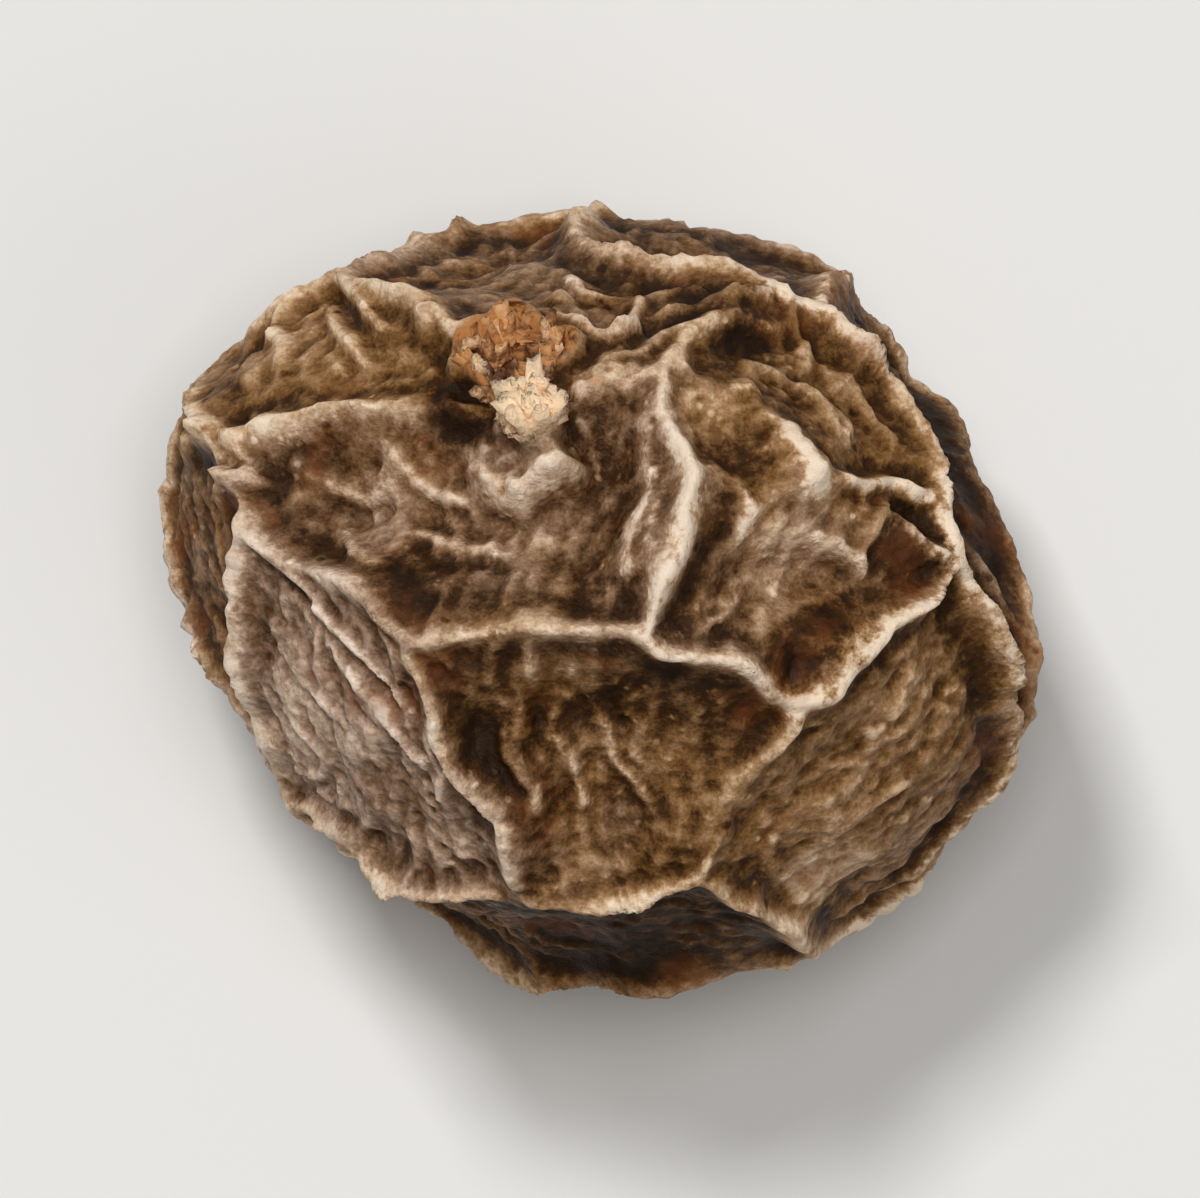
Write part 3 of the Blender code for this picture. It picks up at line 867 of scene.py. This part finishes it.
def skinLightness(tree, place, texture):  # where the skin is on the scale from darkest to palest
    # The pale crests are partly wear, partly painted highlight; this noise breaks both up
    wearAndHighlight = remap(tree, noise(tree, place, *skinLook["wearAndHighlightNoise"]), *skinLook["wearAndHighlightLevels"])
    edge = centred(tree, noise(tree, place, *skinLook["edgeNoise"]), skinLook["crestEdge"])
    crests = total(tree, product(tree, mask(tree, "crest"), wearAndHighlight), edge)
    paler = total(tree, product(tree, mask(tree, "paler"), wearAndHighlight), edge)
    around = {
        "mottle": remap(tree, texture.outputs["Mottle"], *skinLook["mottleLevels"]),
        "grit": remap(tree, texture.outputs["Grit"], *skinLook["gritLevels"]),
        # painted shade where the skin lies lower than round it, painted light where it stands out
        "near": mask(tree, "nearOut"),
        "far": mask(tree, "farOut"),
    }
    onTop = {
        "tone": mask(tree, "tone"),
        "paler": remap(tree, paler, *skinLook["palerLevels"]),
        "crest": remap(tree, crests, *skinLook["crestLevels"]),
        "flecks": texture.outputs["Flecks"],
        "groove": mask(tree, "groove"),
        "pores": texture.outputs["Pores"],
    }
    weights = skinLook["weights"]
    shade = product(tree, mask(tree, "shade"), weights["shade"])
    parts = [centred(tree, value, weights[name]) for name, value in around.items()]
    parts += [product(tree, value, weights[name]) for name, value in onTop.items()]
    return total(tree, shade, skinLook["middle"], *parts)


def tornColour(tree, place):  # the broken side of the stub, with painted shade in its pits
    strands = remap(tree, noise(tree, place, *skinLook["strandNoise"]), *skinLook["strandLevels"])
    torn = mixColour(tree, strands, skinLook["tornDarkAndPitShade"], skinLook["tornSide"])
    pitShade = remap(tree, mask(tree, "nearOut"), *skinLook["pitShadeLevels"])
    return mixColour(tree, pitShade, torn, skinLook["tornDarkAndPitShade"])


def skinMaterial(grain):
    material, tree, shader = newMaterial("dried pepper skin")
    place = millimetres(tree)
    texture = useGroup(tree, grain, place, *skinLook["grain"])
    share = addMath(tree, "DIVIDE", skinLightness(tree, place, texture), skinLook["lightest"])
    warmth = total(tree, mask(tree, "warmth"), noise(tree, place, *skinLook["warmthNoise"]))
    warmth = remap(tree, warmth, *skinLook["warmthLevels"])
    grey, brown = ramp(tree, share, skinLook["grey"]), ramp(tree, share, skinLook["brown"])
    colour = mixColour(tree, warmth, grey, brown)
    rust = remap(tree, noise(tree, place, *skinLook["rustNoise"]), *skinLook["rustLevels"])
    colour = mixColour(tree, rust, colour, skinLook["rust"])
    stub = mask(tree, "torn")
    colour = mixColour(tree, remap(tree, stub, *skinLook["tornLevels"]), colour, tornColour(tree, place))
    tree.links.new(colour, shader.inputs["Base Color"])
    roughness = remap(tree, texture.outputs["Mottle"], *skinLook["roughness"])
    rougher = product(tree, stub, skinLook["tornRoughness"])
    roughness = addMath(tree, "ADD", roughness, rougher, clamp=True)
    tree.links.new(roughness, shader.inputs["Roughness"])
    shader.inputs["Specular IOR Level"].default_value = skinLook["specular"]
    shader.inputs["Specular Tint"].default_value = (*skinLook["specularTint"], 1)
    addBump(tree, texture.outputs["Height"], skinLook["bumpDistance"], shader)
    return material


# Splinters of the torn stalk, in two bundles that stand in the skin's own stub
stalkFibres = {
    "seed": 17,
    "sides": 7,
    "rings": 9,
    "bundles": [
        {  # orange splinters, in a ring
            "place": (109, 45),
            "reach": 0.25 * mm,
            "hollow": 0.50,  # share of the reach that is left empty in the middle
            "count": 50,
            "lengths": (0.10 * mm, 0.17 * mm),
            "thicknesses": (0.045 * mm, 0.080 * mm),
            "lean": 0.32,
            "paleness": (0.05, 0.70),
        },
        {  # the cream end
            "place": (110, 33),
            "reach": 0.14 * mm,
            "hollow": 0.0,
            "count": 22,
            "lengths": (0.12 * mm, 0.18 * mm),
            "thicknesses": (0.075 * mm, 0.115 * mm),
            "lean": 0.18,
            "paleness": (0.80, 1.0),
        },
    ],
    "paintedHoleShades": [((113, 41), 0.085 * mm, -1.3)],  # painted shade in the hole among the splinters: place, reach, change
    "turns": 3.3,  # how often the row of a bundle's splinters goes round its middle
    "turnSpread": (0, 0.8),  # how far a splinter strays along the row, in splinters
    "leanSpread": (0.2, 1),
    "tangle": 0.25,  # how far splinters point in other ways than their bundle
    "sunk": 0.08 * mm,  # how deep a splinter starts under the skin
    "flatness": 0.65,
    "tip": 0.55,
    "bend": 0.35,
    "raggedness": 0.22,
    "raggedEnd": 0.8,
    "endRise": 0.2,
    "rootPaleness": 0.55,  # share of its paleness that a splinter has at its root
    "uvMargins": (0.1, 0.02),  # share of its own strip in the UV map that each splinter leaves free
    "brown": (0.120, 0.040, 0.012),
    "orange": (0.580, 0.270, 0.090),
    "cream": (0.920, 0.680, 0.440),
    "grain": (2.2, 0.5),  # scale of the shared grain, and how strong its flecks are
    "mottleLevels": (0.36, 0.64),
    "mottle": 0.6,  # how much the mottling changes the colour, and its share in how pale a splinter is
    "mottlePale": 0.8,
    "orangeLevels": (-0.1, 0.7),
    "creamLevels": (0.30, 0.90),
    "roughness": 0.72,
    "bumpDistance": 0.010 * mm,
}


def splinterRoots(skin, middle, draw):  # where each splinter stands, and which way it points
    for bundle in stalkFibres["bundles"]:
        up = direction(bundle["place"])
        across = unit(np.cross(up, (0, 0, 1)))
        along = np.cross(across, up)
        for number in range(bundle["count"]):
            stray = draw.uniform(*stalkFibres["turnSpread"])
            turn = 2 * np.pi * (number + stray) / bundle["count"] * stalkFibres["turns"]
            off = bundle["reach"] * np.sqrt(draw.uniform(bundle["hollow"] ** 2, 1))
            aside = across * np.cos(turn) + along * np.sin(turn)
            hit, foot, _, _ = skin.ray_cast(Vector(middle + aside * off + up * wholeSize[2]), Vector(-up))
            if not hit:
                continue
            lean = aside * bundle["lean"] * draw.uniform(*stalkFibres["leanSpread"])
            yield bundle, np.array(foot), up, unit(up + lean + stalkFibres["tangle"] * draw.normal(size=3))


def splinterPoints(bundle, foot, up, way, draw):  # rings of points up a splinter, and its paleness at each
    sides, rings = stalkFibres["sides"], stalkFibres["rings"]
    side = unit(np.cross(way, draw.normal(size=3)))
    other = np.cross(way, side)
    bendWay = side * draw.normal() + other * draw.normal()
    length, thick = draw.uniform(*bundle["lengths"]), draw.uniform(*bundle["thicknesses"])
    uneven = 1 + stalkFibres["raggedness"] * draw.normal(size=(rings, sides))
    pale = draw.uniform(*bundle["paleness"])
    points, pales = [], []
    for ring in range(rings):
        share = ring / (rings - 1)
        girth = thick * (1 - (1 - stalkFibres["tip"]) * share ** 1.5)
        centre = foot - up * stalkFibres["sunk"] + way * length * share
        centre = centre + bendWay * stalkFibres["bend"] * length * share ** 2 * 0.5
        for corner in range(sides):
            angle = 2 * np.pi * corner / sides
            out = side * np.cos(angle) + other * np.sin(angle) * stalkFibres["flatness"]
            atEnd = stalkFibres["raggedEnd"] if ring == rings - 1 else 0
            points.append(centre + (out * girth + way * thick * atEnd) * uneven[ring, corner])
            pales.append(pale * (stalkFibres["rootPaleness"] + (1 - stalkFibres["rootPaleness"]) * share))
    points.append(centre + way * thick * stalkFibres["endRise"])
    pales.append(pale)
    return points, pales


def splinterFaces(first, column, count):  # faces of one splinter, and their places in the UV map
    sides, rings = stalkFibres["sides"], stalkFibres["rings"]
    sideMargin, endMargin = stalkFibres["uvMargins"]
    faces, spots = [], []
    for ring in range(rings):
        for corner in range(sides):
            low, high = first + ring * sides, first + (ring + 1) * sides
            after = (corner + 1) % sides
            if ring < rings - 1:
                faces.append((low + corner, low + after, high + after, high + corner))
                spots += [(corner, ring), (corner + 1, ring), (corner + 1, ring + 1), (corner, ring + 1)]
            else:
                faces.append((low + corner, low + after, high))
                spots += [(corner, ring), (corner + 1, ring), (corner + 0.5, ring + 1)]
    u, v = np.array(spots).T
    across = (column + sideMargin + (1 - 2 * sideMargin) * u / sides) / count
    upwards = endMargin + (1 - 2 * endMargin) * v / rings
    return faces, np.stack([across, upwards], axis=1)


def buildFibres(skin):
    draw = np.random.default_rng(stalkFibres["seed"])
    middle = np.array([0, 0, wholeSize[2] / 2 + cadBox[0].z])
    count = sum(bundle["count"] for bundle in stalkFibres["bundles"])
    points, faces, spots, pales, tints = [], [], [], [], []
    for column, (bundle, foot, up, way) in enumerate(splinterRoots(skin, middle, draw)):
        newFaces, newSpots = splinterFaces(len(points), column, count)
        newPoints, newPales = splinterPoints(bundle, foot, up, way, draw)
        faces += newFaces
        spots.append(newSpots)
        points += newPoints
        pales += newPales
        tints += [draw.uniform()] * len(newPoints)
    mesh = bpy.data.meshes.new("stalk fibres")
    mesh.from_pydata([tuple(point) for point in points], [], faces)
    layer = mesh.uv_layers.new(name="OFBake")
    layer.uv.foreach_set("vector", np.concatenate(spots).ravel().astype(np.float32))
    # painted shade in the hole among the splinters, which makes them darker and less pale there
    paintedHoleShades = patches(unit(np.array(points) - middle), stalkFibres["paintedHoleShades"])
    setMasks(mesh, {"pale": np.array(pales) + paintedHoleShades, "tint": np.array(tints) + paintedHoleShades})
    mesh.shade_smooth()
    mesh.update()
    print("stalk fibres built,", len(faces), "faces")
    return addObject("stalkFibres", mesh)


def fibreMaterial(grain):
    material, tree, shader = newMaterial("torn stalk")
    texture = useGroup(tree, grain, millimetres(tree), *stalkFibres["grain"])
    mottle = remap(tree, texture.outputs["Mottle"], *stalkFibres["mottleLevels"])
    mottle = centred(tree, mottle, stalkFibres["mottle"])
    tone = remap(tree, total(tree, mask(tree, "tint"), mottle), *stalkFibres["orangeLevels"])
    colour = mixColour(tree, tone, stalkFibres["brown"], stalkFibres["orange"])
    pale = total(tree, mask(tree, "pale"), product(tree, mottle, stalkFibres["mottlePale"]))
    colour = mixColour(tree, remap(tree, pale, *stalkFibres["creamLevels"]), colour, stalkFibres["cream"])
    tree.links.new(colour, shader.inputs["Base Color"])
    shader.inputs["Roughness"].default_value = stalkFibres["roughness"]
    addBump(tree, texture.outputs["Height"], stalkFibres["bumpDistance"], shader)
    return material


stageLook = {
    "floorSize": 0.9,  # metres
    "floorColour": (0.80, 0.79, 0.77),
    "floorRoughness": 0.7,
    "worldColour": (1.0, 0.98, 0.95),
    "worldStrength": 0.16,
    "lights": {  # place and size in metres, power in watts
        "key": ((-0.080, 0.160, 0.340), 0.072, 0.80),
        "fill": ((0.200, -0.120, 0.240), 0.240, 0.10),
        "top": ((0.020, 0.032, 0.380), 0.120, 0.45),
    },
    "lens": 1200.0,
    "sensor": 36.0,
    "fills": 0.74,  # share of the picture's width that the peppercorn takes
    "clipSpan": 100,  # how many times nearer and farther than the peppercorn the camera still sees
}


def buildFloor():
    mesh = bpy.data.meshes.new("floor")
    plane = bmesh.new()
    bmesh.ops.create_grid(plane, x_segments=1, y_segments=1, size=stageLook["floorSize"] / 2)
    plane.to_mesh(mesh)
    plane.free()
    floor = addObject("floor", mesh)
    floor.location.z = cadBox[0].z
    material, _, shader = newMaterial("pale floor")
    shader.inputs["Base Color"].default_value = (*stageLook["floorColour"], 1)
    shader.inputs["Roughness"].default_value = stageLook["floorRoughness"]
    mesh.materials.append(material)


def buildLights():
    world = bpy.data.worlds.new("soft room")
    world.use_nodes = True
    background = world.node_tree.nodes["Background"]
    background.inputs["Color"].default_value = (*stageLook["worldColour"], 1)
    background.inputs["Strength"].default_value = stageLook["worldStrength"]
    bpy.context.scene.world = world
    aim = (cadBox[0] + cadBox[1]) / 2
    for name, (place, size, power) in stageLook["lights"].items():
        data = bpy.data.lights.new(name, "AREA")
        data.size = size
        data.energy = power
        lamp = addObject(name, data)
        lamp.location = place
        lamp.rotation_euler = (aim - lamp.location).to_track_quat("-Z", "Y").to_euler()


def setColours():  # the plain transform keeps the deep darks of the skin
    bpy.context.scene.view_settings.view_transform = "Standard"


def buildCamera():  # looks straight down, with +Y up in the picture
    data = bpy.data.cameras.new("camera")
    data.lens = stageLook["lens"]
    data.sensor_width = stageLook["sensor"]
    width = wholeSize[0] / stageLook["fills"]
    distance = width * data.lens / data.sensor_width
    data.clip_start = distance / stageLook["clipSpan"]
    data.clip_end = distance * stageLook["clipSpan"]
    camera = addObject("camera", data)
    camera.location = (cadBox[0] + cadBox[1]) / 2 + Vector((0, 0, distance))
    bpy.context.scene.camera = camera


def main():
    grain = driedGrainGroup()
    skin = buildSkin()
    skin.data.materials.append(skinMaterial(grain))
    fibres = buildFibres(skin)
    fibres.data.materials.append(fibreMaterial(grain))
    for piece in (skin, fibres):
        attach(piece, "root")
    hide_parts("peppercorn")
    print("materials made")
    buildFloor()
    buildLights()
    setColours()
    buildCamera()
    print("stage, lights and camera made")


main()
